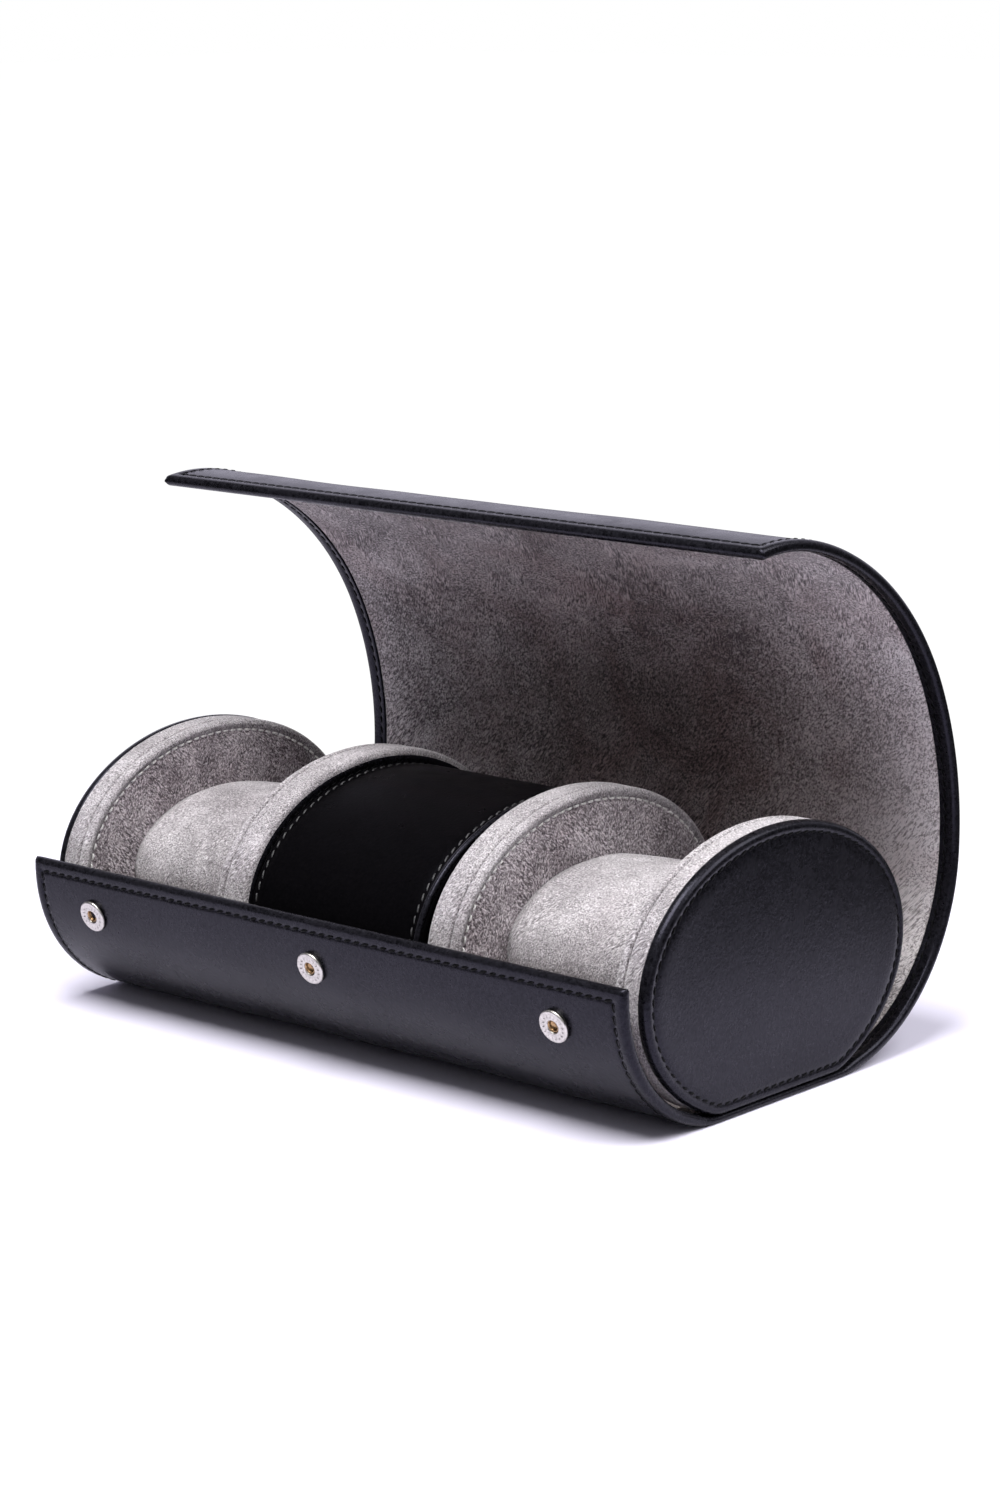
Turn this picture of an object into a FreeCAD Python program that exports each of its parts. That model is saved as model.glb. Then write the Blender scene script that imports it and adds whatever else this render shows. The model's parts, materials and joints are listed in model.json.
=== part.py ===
"""Watch roll: a leather wrap with two removable watch spools and a leather covered drum.

Frame: origin on the underside of the base, at its centre. +X runs along the roll towards the
right end, +Y to the rear where the lid starts, +Z up. Millimetres and degrees.
The roll is modelled open, with the lid arched over the spools and the front flap leaning out.
"""
import FreeCAD
import Part
import math
import os

# Driving dimensions, one sheet cell each.
DIMENSIONS = {
    # wrap laminate, from the outside in
    "roll_length": 218.4,
    "leather_thickness": 1.0,
    "board_thickness": 0.9,
    "lining_thickness": 0.8,
    "turn_in_width": 5.5,
    "hinge_clearance": 0.06,
    # oval section that the spools share, with a flat underside
    "disc_half_width": 53.5,
    "disc_half_height": 37.8,
    "flat_cut": 5.4,
    "seat_clearance": 0.2,
    "corner_clearance": 0.7,
    # spools
    "spool_length": 75.5,
    "disc_width": 9.7,
    "facing_thickness": 1.4,
    "facing_edge_radius": 0.6,
    "rim_thickness": 2.0,
    "rim_edge_radius": 1.3,
    "face_lining_thickness": 1.0,
    "hub_half_width": 36.0,
    "hub_half_height": 20.2,
    "hub_crown": 1.2,
    "hub_cover_thickness": 0.8,
    "hub_foam_thickness": 4.0,
    "hub_tube_wall": 2.0,
    # drum
    "drum_inset": 1.9,
    "drum_left_gap": 0.3,
    "drum_right_gap": 4.0,
    "drum_cover_thickness": 1.2,
    "drum_tube_wall": 2.0,
    "drum_end_thickness": 3.0,
    "drum_facing_thickness": 1.0,
    # front flap: one arc
    "flap_radius_share": 0.757,
    "flap_start_angle": 9.5,
    "flap_sweep_angle": 85.0,
    "flap_bend_angle": 6.9,
    # lid: five arcs from the base's rear edge to the front edge
    "lid_start_angle": 4.2,
    "heel_radius_share": 1.009,
    "heel_sweep_angle": 42.0,
    "heel_bend_angle": 12.4,
    "back_radius_share": 1.037,
    "back_sweep_angle": 40.0,
    "back_bend_angle": 27.8,
    "shoulder_radius_share": 1.869,
    "shoulder_sweep_angle": 28.0,
    "shoulder_bend_angle": 18.3,
    "top_radius_share": 1.514,
    "top_sweep_angle": 50.5,
    "top_bend_angle": 4.4,
    "front_radius_share": 1.065,
    "front_bend_angle": 28.0,
    # press studs
    "snap_end_margin": 23.6,
    "socket_drop": 13.5,
    "stud_edge_margin": 7.0,
    "socket_radius": 4.6,
    "socket_thickness": 1.4,
    "socket_seat_depth": 0.4,
    "socket_edge_radius": 0.4,
    "eyelet_radius": 1.9,
    "eyelet_wall": 0.4,
    "eyelet_recess": 0.2,
    "eyelet_flange_radius": 3.4,
    "eyelet_flange_thickness": 0.35,
    "stud_radius": 3.7,
    "stud_thickness": 0.5,
    "nub_radius": 1.1,
    "nub_height": 0.8,
    "nub_edge_radius": 0.3,
    "post_radius": 0.8,
    "washer_radius": 3.0,
    "washer_thickness": 0.3,
    # overrun of every cutting tool
    "cut_overrun": 1.0,
}
LID_STRIPS = ("heel", "back", "shoulder", "top", "front")
SNAP_STEPS = (-1, 0, 1)
SIDES = {"left": -1, "right": 1}
SAME_PLACE = 1e-6
SAME_RADIUS = 1e-3

X_AXIS = FreeCAD.Vector(1, 0, 0)
# turns a solid built along its own Z so that it runs along the roll, its own X to the rear
ALONG_ROLL = FreeCAD.Rotation(FreeCAD.Vector(1, 1, 1), 120)

doc = FreeCAD.newDocument("watch_roll")
sheet = doc.addObject("Spreadsheet::Sheet", "Sheet")
for row, (alias, number) in enumerate(DIMENSIONS.items(), start=1):
    sheet.set(f"A{row}", str(number))
    sheet.setAlias(f"A{row}", alias)
doc.recompute()

nodes = []


def size(alias):
    """Value of a sheet cell, for the places worked out here."""
    return float(sheet.get(alias))


def cell(alias):
    """The same cell as a term of an expression."""
    return f"Sheet.{alias}"


def worked_out(expression):
    """Number that an expression on the sheet comes to."""
    return float(sheet.evalExpression(expression))


def add(kind, name, **expressions):
    """A document object whose sizes follow the sheet."""
    obj = doc.addObject(kind, name)
    for prop, expression in expressions.items():
        obj.setExpression(prop, expression)
    return obj


def place(obj, x=0.0, y=0.0, z=0.0, spin=0.0):
    """Puts an object that runs along the roll at a point, spun about the roll's own direction."""
    turn = FreeCAD.Rotation(X_AXIS, spin).multiply(ALONG_ROLL)
    obj.Placement = FreeCAD.Placement(FreeCAD.Vector(x, y, z), turn)
    return obj


def cut(name, base, *tools):
    """base less each of the tools in turn."""
    for step, tool in enumerate(tools):
        less = doc.addObject("Part::Cut", name if tool is tools[-1] else f"{name}_less_{step}")
        less.Base = base
        less.Tool = tool
        base = less
    return base


def join(name, kind, parts):
    """Several objects as one: a Part::MultiFuse, or a Part::Compound of separate solids."""
    whole = doc.addObject(kind, name)
    setattr(whole, "Links" if kind == "Part::Compound" else "Shapes", list(parts))
    return whole


def round_edges(name, base, radius, chosen):
    """A fillet on the edges that chosen picks."""
    doc.recompute()
    fillet = doc.addObject("Part::Fillet", name)
    fillet.Base = base
    picked = [i for i, edge in enumerate(base.Shape.Edges, start=1) if chosen(edge)]
    fillet.Edges = [(i, radius, radius) for i in picked]
    return fillet


def node(label, obj):
    """Names a finished sub-part."""
    obj.Label = label
    nodes.append(obj)
    return obj


# Sizes that follow from the driving ones
WRAP = f"({cell('leather_thickness')} + {cell('board_thickness')} + {cell('lining_thickness')})"
FLAT_DEPTH = f"({cell('disc_half_height')} - {cell('flat_cut')})"
FLAT_HALF_WIDTH = f"{cell('disc_half_width')} * sqrt(1 - ({FLAT_DEPTH} / {cell('disc_half_height')})^2)"
BASE_HALF_WIDTH = f"({FLAT_HALF_WIDTH} + {cell('corner_clearance')})"
wrap_thickness = worked_out(WRAP)
flat_depth = worked_out(FLAT_DEPTH)
base_half_width = worked_out(BASE_HALF_WIDTH)
roll_end = size("roll_length") / 2
overrun = size("cut_overrun")
OVERRUN = cell("cut_overrun")


# Flat bottomed ovals
def flat_oval(name, length, inset, x, lift):
    """A prism of the shared oval section, drawn in by an inset; lift is its underside's height."""
    centre = lift + flat_depth
    outline = add("Part::Ellipse", f"{name}_outline",
                  MajorRadius=f"{cell('disc_half_width')} - ({inset})",
                  MinorRadius=f"{cell('disc_half_height')} - ({inset})")
    place(outline, x, 0.0, centre)
    prism = add("Part::Extrusion", f"{name}_oval", LengthFwd=length)
    prism.Base = outline
    prism.DirMode = "Custom"
    prism.Dir = X_AXIS
    prism.Solid = True
    below = add("Part::Box", f"{name}_below",
                Length=f"{length} + 2 * {OVERRUN}",
                Width=f"2 * {cell('disc_half_width')}",
                Height=f"{cell('flat_cut')} + {inset}")
    corner = (x - overrun, -size("disc_half_width"), centre - size("disc_half_height"))
    below.Placement = FreeCAD.Placement(FreeCAD.Vector(*corner), FreeCAD.Rotation())
    return cut(f"{name}_section", prism, below)


def oval_ring(name, length, outer_inset, wall, x, lift):
    """A band of the oval section, one wall thick."""
    outer = flat_oval(f"{name}_outer", length, outer_inset, x, lift)
    inner = flat_oval(f"{name}_inner", f"{length} + 2 * {OVERRUN}", f"{outer_inset} + {wall}",
                      x - overrun, lift)
    return cut(name, outer, inner)


def outer_arc(x):
    """Picks the oval's own arc in a plane square to the roll, and neither its flat nor an inner arc."""
    mid_rim = size("disc_half_width") - size("rim_thickness") / 2
    return lambda edge: (edge.BoundBox.XLength < SAME_PLACE and abs(edge.BoundBox.XMin - x) < SAME_PLACE
                         and edge.BoundBox.YMax > mid_rim)


# Watch spools
spool_lift = wrap_thickness + size("seat_clearance")
HUB_LENGTH = f"({cell('spool_length')} - 2 * ({cell('facing_thickness')} + {cell('disc_width')}))"
hub_length = worked_out(HUB_LENGTH)


def span(outer, side, width):
    """Lower X of a slab that starts at outer and runs a width towards the roll's middle."""
    return outer - width if side > 0 else outer


def disc(prefix, outer, side):
    """One disc of a spool: facing at X = outer, then the core and rim, then the face lining."""
    inward = -side
    face_x = span(outer, side, size("facing_thickness"))
    facing = flat_oval(f"{prefix}_facing_blank", cell("facing_thickness"), "0", face_x, spool_lift)
    facing = round_edges(f"{prefix}_facing_solid", facing, size("facing_edge_radius"), outer_arc(outer))
    node(f"{prefix}_facing", facing)

    core_outer = outer + inward * size("facing_thickness")
    core_width = size("disc_width") - size("face_lining_thickness")
    core = flat_oval(f"{prefix}_board_blank", f"{cell('disc_width')} - {cell('face_lining_thickness')}",
                     cell("rim_thickness"), span(core_outer, side, core_width), spool_lift)
    node(f"{prefix}_board", core)

    rim = oval_ring(f"{prefix}_rim_blank", cell("disc_width"), "0", cell("rim_thickness"),
                    span(core_outer, side, size("disc_width")), spool_lift)
    rim_inner = core_outer + inward * size("disc_width")
    rim = round_edges(f"{prefix}_rim_solid", rim, size("rim_edge_radius"), outer_arc(rim_inner))
    node(f"{prefix}_rim", rim)

    lining_outer = core_outer + inward * core_width
    lining = flat_oval(f"{prefix}_lining_blank", cell("face_lining_thickness"), cell("rim_thickness"),
                       span(lining_outer, side, size("face_lining_thickness")), spool_lift)
    node(f"{prefix}_lining", lining)


def crowned_oval(name, inset, x):
    """The hub's barrel, drawn in by an inset: an oval that swells towards its middle."""
    half_width = f"{cell('hub_half_width')} - ({inset})"
    reach = f"{HUB_LENGTH} / 2 / sqrt(1 - (1 - {cell('hub_crown')} / {cell('hub_half_width')})^2)"
    swell = add("Part::Ellipsoid", f"{name}_swell", Radius1=reach, Radius2=half_width,
                Radius3=f"{cell('hub_half_height')} - ({inset})")
    centre = spool_lift + flat_depth
    place(swell, x, 0.0, centre)
    slab = add("Part::Box", f"{name}_slab", Length=HUB_LENGTH, Width=f"2 * {cell('hub_half_width')}",
               Height=f"2 * {cell('hub_half_height')}")
    corner = (x - hub_length / 2, -size("hub_half_width"), centre - size("hub_half_height"))
    slab.Placement = FreeCAD.Placement(FreeCAD.Vector(*corner), FreeCAD.Rotation())
    barrel = doc.addObject("Part::Common", f"{name}_barrel")
    barrel.Base = swell
    barrel.Tool = slab
    return barrel


def straight_oval(name, length, inset, x):
    """A plain oval prism on the hub's axis."""
    outline = add("Part::Ellipse", f"{name}_outline",
                  MajorRadius=f"{cell('hub_half_width')} - ({inset})",
                  MinorRadius=f"{cell('hub_half_height')} - ({inset})")
    place(outline, x, 0.0, spool_lift + flat_depth)
    prism = add("Part::Extrusion", f"{name}_prism", LengthFwd=length)
    prism.Base = outline
    prism.DirMode = "Custom"
    prism.Dir = X_AXIS
    prism.Solid = True
    return prism


def hub(prefix, x):
    """Padded hub: card tube, foam and suede cover, centred on X."""
    cover = cell("hub_cover_thickness")
    foam = f"{cover} + {cell('hub_crown')} + {cell('hub_foam_thickness')}"
    tube = f"{foam} + {cell('hub_tube_wall')}"
    start = x - hub_length / 2
    skin = cut(f"{prefix}_hub_cover_solid", crowned_oval(f"{prefix}_hub_skin", "0", x),
               crowned_oval(f"{prefix}_hub_skin_hollow", cover, x))
    node(f"{prefix}_hub_cover", skin)
    bore = straight_oval(f"{prefix}_hub_foam_bore", f"{HUB_LENGTH} + 2 * {OVERRUN}", foam, start - overrun)
    pad = cut(f"{prefix}_hub_foam_solid", crowned_oval(f"{prefix}_hub_pad", cover, x), bore)
    node(f"{prefix}_hub_foam", pad)
    shell = straight_oval(f"{prefix}_hub_shell", HUB_LENGTH, foam, start)
    hollow = straight_oval(f"{prefix}_hub_hollow", f"{HUB_LENGTH} + 2 * {OVERRUN}", tube, start - overrun)
    node(f"{prefix}_hub_tube", cut(f"{prefix}_hub_tube_solid", shell, hollow))


for side_name, side in SIDES.items():
    outer_face = side * roll_end
    inner_face = outer_face - side * size("spool_length")
    disc(f"{side_name}_end", outer_face, side)
    hub(side_name, (outer_face + inner_face) / 2)
    disc(f"{side_name}_inner", inner_face, -side)


# Drum between the spools
def drum():
    """Closed leather covered barrel that fills the middle of the roll."""
    left = -roll_end + size("spool_length") + size("drum_left_gap")
    right = roll_end - size("spool_length") - size("drum_right_gap")
    facing = size("drum_facing_thickness")
    end = size("drum_end_thickness")
    inset = cell("drum_inset")
    gaps = f"{cell('drum_left_gap')} + {cell('drum_right_gap')}"
    length = f"({cell('roll_length')} - 2 * {cell('spool_length')} - ({gaps}))"
    between = f"({length} - 2 * {cell('drum_facing_thickness')})"
    # the oval is drawn in all round, so it is lowered by the inset to sit on the base
    lift = wrap_thickness - size("drum_inset")
    under_cover = f"{inset} + {cell('drum_cover_thickness')}"
    in_tube = f"{under_cover} + {cell('drum_tube_wall')}"
    cover = oval_ring("drum_cover_solid", length, inset, cell("drum_cover_thickness"), left, lift)
    node("drum_cover", cover)
    tube = oval_ring("drum_tube_solid", between, under_cover, cell("drum_tube_wall"), left + facing, lift)
    node("drum_tube", tube)
    ends = {"left": (left, left + facing), "right": (right - facing, right - facing - end)}
    for name, (facing_x, board_x) in ends.items():
        node(f"drum_{name}_facing", flat_oval(f"drum_{name}_facing_solid", cell("drum_facing_thickness"),
                                              under_cover, facing_x, lift))
        node(f"drum_{name}_board", flat_oval(f"drum_{name}_board_solid", cell("drum_end_thickness"),
                                             in_tube, board_x, lift))


drum()


# Wrap laminate: the leather sheet outside, its turned edges, and the board and lining inside them
# angles that add up to the whole fold at each hinge line once the roll is shut
FOLDS = {strip: (f"{strip}_bend_angle",) for strip in LID_STRIPS}
FOLDS["heel"] = ("lid_start_angle", "heel_bend_angle")
FOLDS["flap"] = ("flap_start_angle", "flap_bend_angle")


def hinge_inset(depth, hinge_name):
    """How far a layer stops short of a hinge line, so that it folds without meeting its neighbour."""
    fold = " + ".join(cell(angle) for angle in FOLDS[hinge_name])
    return f"({depth} * tan(({fold}) / 2) + {cell('hinge_clearance')})"


# layer: outer depth, inner depth, inset at the roll's ends and at a free edge
LAYERS = {
    "sheet": ("0", cell("leather_thickness"), "0"),
    "turned": (cell("leather_thickness"), WRAP, "0"),
    "board": (cell("leather_thickness"), f"({cell('leather_thickness')} + {cell('board_thickness')})",
              cell("leather_thickness")),
    "lining": (f"({cell('leather_thickness')} + {cell('board_thickness')})", WRAP, cell("turn_in_width")),
}


def finish_panel(panel, layers, holes):
    """Turns the four layer solids into the leather, board and lining nodes, with any holes cut."""
    turned = cut(f"{panel}_turned_edge", layers["turned"], layers["board"], layers["lining"])
    layers["leather"] = join(f"{panel}_leather_whole", "Part::MultiFuse", [layers["sheet"], turned])
    for layer in ("leather", "board", "lining"):
        solid = layers[layer]
        if holes:
            solid = cut(f"{panel}_{layer}_pierced", solid, holes[layer])
        node(f"{panel}_{layer}", solid)


def base_panel():
    """Flat stretch of the wrap, between the front flap's hinge line and the lid's."""
    layers = {}
    for layer, (outer, inner, inset) in LAYERS.items():
        flap_inset = hinge_inset(inner, "flap")
        layers[layer] = add("Part::Box", f"base_{layer}_solid",
                            Length=f"{cell('roll_length')} - 2 * ({inset})",
                            Width=f"2 * {BASE_HALF_WIDTH} - {flap_inset} - {hinge_inset(inner, 'heel')}",
                            Height=f"{inner} - ({outer})")
        corner = (-roll_end + worked_out(inset), -base_half_width + worked_out(flap_inset), worked_out(outer))
        layers[layer].Placement = FreeCAD.Placement(FreeCAD.Vector(*corner), FreeCAD.Rotation())
    finish_panel("base", layers, None)


base_panel()


def sector(name, radius, layer, sweep, arc, start, centre):
    """One layer of a curved panel: a slice of a tube, from the polar angle start, in the YZ plane."""
    outer, inner, inset = LAYERS[layer]
    end = worked_out(inset)
    length = f"{cell('roll_length')} - 2 * ({inset})"
    solid = add("Part::Cylinder", f"{name}_round", Radius=f"{radius} - ({outer})", Height=length,
                Angle=f"{sweep} - ({arc}) / ({radius}) * 180 / pi")
    place(solid, -roll_end + end, *centre, spin=start)
    hollow = add("Part::Cylinder", f"{name}_hollow", Radius=f"{radius} - ({inner})",
                 Height=f"{length} + 2 * {OVERRUN}")
    place(hollow, -roll_end + end - overrun, *centre)
    return cut(f"{name}_slice", solid, hollow)


def polar(centre, radius, angle):
    """Point at a polar angle about a centre in the YZ plane."""
    turn = math.radians(angle)
    return (centre[0] + radius * math.cos(turn), centre[1] + radius * math.sin(turn))


def rotate(point, pivot, angle):
    """A point of the YZ plane turned about a pivot."""
    turn = math.radians(angle)
    dy, dz = point[0] - pivot[0], point[1] - pivot[1]
    return (pivot[0] + dy * math.cos(turn) - dz * math.sin(turn),
            pivot[1] + dy * math.sin(turn) + dz * math.cos(turn))


# Front flap and lid strips as arcs: hinge point, centre and polar angles in the YZ plane
flap_hinge = (-base_half_width, 0.0)
FLAP_RADIUS = f"{cell('disc_half_width')} * {cell('flap_radius_share')}"
flap_radius = worked_out(FLAP_RADIUS)
flap_start = 270 - size("flap_start_angle")
flap_centre = polar(flap_hinge, flap_radius, flap_start - 180)

strips = {}
hinge = (base_half_width, 0.0)
polar_start = size("lid_start_angle") - 90
for strip in LID_STRIPS:
    radius = size("disc_half_width") * size(f"{strip}_radius_share")
    centre = polar(hinge, radius, polar_start + 180)
    strips[strip] = {"hinge": hinge, "centre": centre, "radius": radius, "start": polar_start}
    if strip != LID_STRIPS[-1]:
        polar_start += size(f"{strip}_sweep_angle")
        hinge = polar(centre, radius, polar_start)


def close_lid(point, last):
    """Where a point of a lid strip comes to when the lid is shut."""
    for strip in reversed(LID_STRIPS[:LID_STRIPS.index(last) + 1]):
        point = rotate(point, strips[strip]["hinge"], size(f"{strip}_bend_angle"))
    return point


# Press studs: the socket is set below the flap's edge, and the stud where the shut lid meets it.
# The lid ends a margin past its studs.
socket_angle = flap_start - size("flap_sweep_angle") + math.degrees(size("socket_drop") / flap_radius)
shut_centre = rotate(flap_centre, flap_hinge, -size("flap_bend_angle"))
shut_socket = polar(shut_centre, flap_radius, socket_angle - size("flap_bend_angle"))
front = strips["front"]
shut_front = close_lid(front["centre"], "front")
lid_turn = sum(size(f"{strip}_bend_angle") for strip in LID_STRIPS)
facing_y, facing_z = shut_socket[0] - shut_front[0], shut_socket[1] - shut_front[1]
stud_angle = (math.degrees(math.atan2(facing_z, facing_y)) - lid_turn) % 360
snap_places = [step * (roll_end - size("snap_end_margin")) for step in SNAP_STEPS]
front_sweep_angle = stud_angle + math.degrees(size("stud_edge_margin") / front["radius"]) - front["start"]


def stand(name, radius, height, where):
    """A round piece at each press stud, standing along the wrap's own normal.

    where is (centre, distance from it, polar angle, sign): the piece rises by its height from that
    distance, outwards for sign 1 and inwards for sign -1.
    """
    centre, distance, angle, sign = where
    y, z = polar(centre, distance, angle)
    turn = FreeCAD.Rotation(X_AXIS, angle - 90 * sign)
    rounds = []
    for number, x in enumerate(snap_places, start=1):
        piece = add("Part::Cylinder", f"{name}_{number}", Radius=radius, Height=height)
        piece.Placement = FreeCAD.Placement(FreeCAD.Vector(x, y, z), turn)
        rounds.append(piece)
    return rounds


def each(name, build, *groups):
    """Applies build to the pieces of each press stud in turn and groups the results."""
    return [build(f"{name}_{number}", *pieces) for number, pieces in enumerate(zip(*groups), start=1)]


def fused(name, *pieces):
    """Several pieces as one solid."""
    return join(name, "Part::MultiFuse", pieces)


def far_circle(radius, solid):
    """Picks the circular edge of a radius that lies furthest along a piece's own axis."""
    inverse = solid.Placement.inverse()
    heights = [inverse.multVec(edge.CenterOfMass).z for edge in solid.Shape.Edges]
    return lambda edge: (abs(edge.BoundBox.XLength - 2 * radius) < SAME_RADIUS
                         and inverse.multVec(edge.CenterOfMass).z > max(heights) - SAME_PLACE)


def sockets():
    """Sockets on the flap's outer face and the eyelets that rivet them, with the holes they need."""
    seat = flap_radius - size("socket_seat_depth")
    at_seat = (flap_centre, seat, socket_angle, 1)
    body = stand("socket_body", cell("socket_radius"), cell("socket_thickness"), at_seat)
    doc.recompute()
    body = [round_edges(f"socket_round_{i}", one, size("socket_edge_radius"),
                        far_circle(size("socket_radius"), one)) for i, one in enumerate(body, start=1)]
    bore_start = (flap_centre, seat - overrun, socket_angle, 1)
    bore = stand("socket_bore", cell("eyelet_radius"), f"{cell('socket_thickness')} + 2 * {OVERRUN}",
                 bore_start)
    node("snap_sockets", join("snap_socket_group", "Part::Compound", each("socket_ring", cut, body, bore)))

    # the eyelet's flange lies against the board's inner face, under the lining
    board_inner = flap_radius - wrap_thickness + size("lining_thickness")
    SHANK = (f"{cell('leather_thickness')} + {cell('board_thickness')} - {cell('socket_seat_depth')}"
             f" + {cell('socket_thickness')} - {cell('eyelet_recess')}")
    at_board = (flap_centre, board_inner, socket_angle, 1)
    shank = stand("eyelet_shank", cell("eyelet_radius"), SHANK, at_board)
    flange = stand("eyelet_flange", cell("eyelet_flange_radius"), cell("eyelet_flange_thickness"), at_board)
    through = (flap_centre, board_inner - overrun, socket_angle, 1)
    inside = stand("eyelet_inside", f"{cell('eyelet_radius')} - {cell('eyelet_wall')}",
                   f"{SHANK} + 2 * {OVERRUN}", through)
    whole = each("eyelet_whole", fused, shank, flange)
    node("snap_eyelets", join("snap_eyelet_group", "Part::Compound", each("eyelet_tube", cut, whole, inside)))

    above = stand("socket_recess", cell("socket_radius"), cell("socket_thickness"), at_seat)
    clear = stand("eyelet_hole", cell("eyelet_radius"), SHANK, at_board)
    buried = stand("eyelet_recess_tool", cell("eyelet_flange_radius"),
                   f"{cell('eyelet_flange_thickness')} + {OVERRUN}", through)
    lining_hole = stand("eyelet_lining_hole", f"{cell('eyelet_radius')} - {cell('eyelet_wall')}",
                        f"2 * {OVERRUN}", through)
    return {"leather": fused("flap_leather_holes", *above, *clear),
            "board": fused("flap_board_holes", *clear, *buried),
            "lining": fused("flap_lining_holes", *lining_hole)}


def studs():
    """Studs on the lid's inner face and the posts that rivet them, with the holes they need."""
    inner = front["radius"] - wrap_thickness
    at_face = (front["centre"], inner, stud_angle, -1)
    flange = stand("stud_flange", cell("stud_radius"), cell("stud_thickness"), at_face)
    NUB = f"{cell('stud_thickness')} + {cell('nub_height')}"
    nub = stand("stud_nub", cell("nub_radius"), NUB, at_face)
    doc.recompute()
    nub = [round_edges(f"stud_tip_{i}", one, size("nub_edge_radius"), far_circle(size("nub_radius"), one))
           for i, one in enumerate(nub, start=1)]
    node("snap_studs", join("snap_stud_group", "Part::Compound", each("stud_whole", fused, flange, nub)))

    # the post runs back through the lining and board to a washer under the leather
    under_leather = (front["centre"], front["radius"] - size("leather_thickness"), stud_angle, -1)
    LAID = f"{cell('board_thickness')} + {cell('lining_thickness')}"
    shank = stand("post_shank", cell("post_radius"), LAID, under_leather)
    washer = stand("post_washer", cell("washer_radius"), cell("washer_thickness"), under_leather)
    node("snap_posts", join("snap_post_group", "Part::Compound", each("post_whole", fused, shank, washer)))

    clear = stand("post_hole", cell("post_radius"), LAID, under_leather)
    buried = (front["centre"], front["radius"] - size("leather_thickness") + overrun, stud_angle, -1)
    recess = stand("washer_recess", cell("washer_radius"), f"{cell('washer_thickness')} + {OVERRUN}", buried)
    bed = stand("stud_bed", cell("stud_radius"), cell("stud_thickness"), at_face)
    sunk = stand("washer_bed", cell("washer_radius"), cell("washer_thickness"), under_leather)
    return {"leather": fused("front_leather_holes", *sunk, *bed, *clear),
            "board": fused("front_board_holes", *clear, *recess),
            "lining": fused("front_lining_holes", *clear, *bed)}


def curved_panel(panel, radius, sweep, start, turn, centre, ends, holes):
    """A curved stretch of the wrap. ends names the hinge at each end, or None at a free edge.

    turn is 1 where the arc runs on from start, and -1 where it runs back from it.
    """
    layers = {}
    for layer, (_, inner, inset) in LAYERS.items():
        arcs = [hinge_inset(inner, name) if name else inset for name in ends]
        before, after = [math.degrees(worked_out(arc) / worked_out(radius)) for arc in arcs]
        first = start + before if turn > 0 else start - worked_out(sweep) + after
        layers[layer] = sector(f"{panel}_{layer}", radius, layer, sweep, " + ".join(arcs), first, centre)
    finish_panel(panel, layers, holes)


curved_panel("flap", FLAP_RADIUS, cell("flap_sweep_angle"), flap_start, -1, flap_centre,
             ("flap", None), sockets())
stud_holes = studs()
for number, strip in enumerate(LID_STRIPS):
    arc = strips[strip]
    last = strip == LID_STRIPS[-1]
    ends = (strip, None if last else LID_STRIPS[number + 1])
    sweep = str(front_sweep_angle) if last else cell(f"{strip}_sweep_angle")
    curved_panel(f"lid_{strip}", f"{cell('disc_half_width')} * {cell(f'{strip}_radius_share')}", sweep,
                 arc["start"], 1, arc["centre"], ends, stud_holes if last else None)

doc.recompute()
faults = [obj.Label for obj in doc.Objects if {"Invalid", "Error"} & set(obj.State)]
faults += [obj.Label for obj in nodes
           if obj.Shape.isNull() or not obj.Shape.isValid() or not obj.Shape.Solids]
if faults:
    raise RuntimeError(f"objects failed: {faults}")

os.makedirs("parts", exist_ok=True)
for obj in nodes:
    obj.Shape.exportStep(f"parts/{obj.Label}.step")

print("nodes", len(nodes))
for strip in LID_STRIPS:
    print("hinge", strip, [round(v, 4) for v in strips[strip]["hinge"]], size(f"{strip}_bend_angle"))
print("flap hinge", [round(v, 4) for v in flap_hinge], size("flap_bend_angle"))
print("stud angle", round(stud_angle, 3), "front sweep", round(front_sweep_angle, 3))
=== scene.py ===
"""Looks of the watch roll: leather wrap, suede spools, leather drum and press studs.

Every piece is built in metres in the frame's own axes: +X along the roll, -Y to the front flap, +Z up.
"""
import json
import math

import bmesh
import bpy
import numpy as np
from mathutils import Matrix, Vector, noise


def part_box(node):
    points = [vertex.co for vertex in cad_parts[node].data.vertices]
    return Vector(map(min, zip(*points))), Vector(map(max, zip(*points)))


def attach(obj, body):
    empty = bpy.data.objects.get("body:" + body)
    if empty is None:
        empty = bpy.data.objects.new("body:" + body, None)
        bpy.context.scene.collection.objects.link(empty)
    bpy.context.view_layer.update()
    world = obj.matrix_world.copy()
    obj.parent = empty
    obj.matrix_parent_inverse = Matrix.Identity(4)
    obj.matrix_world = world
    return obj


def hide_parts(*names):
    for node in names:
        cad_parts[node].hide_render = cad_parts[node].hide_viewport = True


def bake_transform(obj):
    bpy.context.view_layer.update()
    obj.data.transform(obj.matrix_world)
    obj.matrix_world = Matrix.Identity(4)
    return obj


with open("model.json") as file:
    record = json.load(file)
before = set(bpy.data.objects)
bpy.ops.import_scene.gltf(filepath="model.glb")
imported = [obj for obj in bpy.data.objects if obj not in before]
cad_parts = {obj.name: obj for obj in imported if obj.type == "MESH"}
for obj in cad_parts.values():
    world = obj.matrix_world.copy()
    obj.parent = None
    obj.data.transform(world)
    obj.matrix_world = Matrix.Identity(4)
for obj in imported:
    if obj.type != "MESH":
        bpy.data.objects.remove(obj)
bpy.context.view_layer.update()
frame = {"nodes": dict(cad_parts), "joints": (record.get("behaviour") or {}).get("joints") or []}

# Units, in metres: points closer than the weld distance are one, and nothing on the roll is as long as FAR
MM = 0.001
WELD_DISTANCE = 0.0001 * MM
FAR = 1.0

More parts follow.
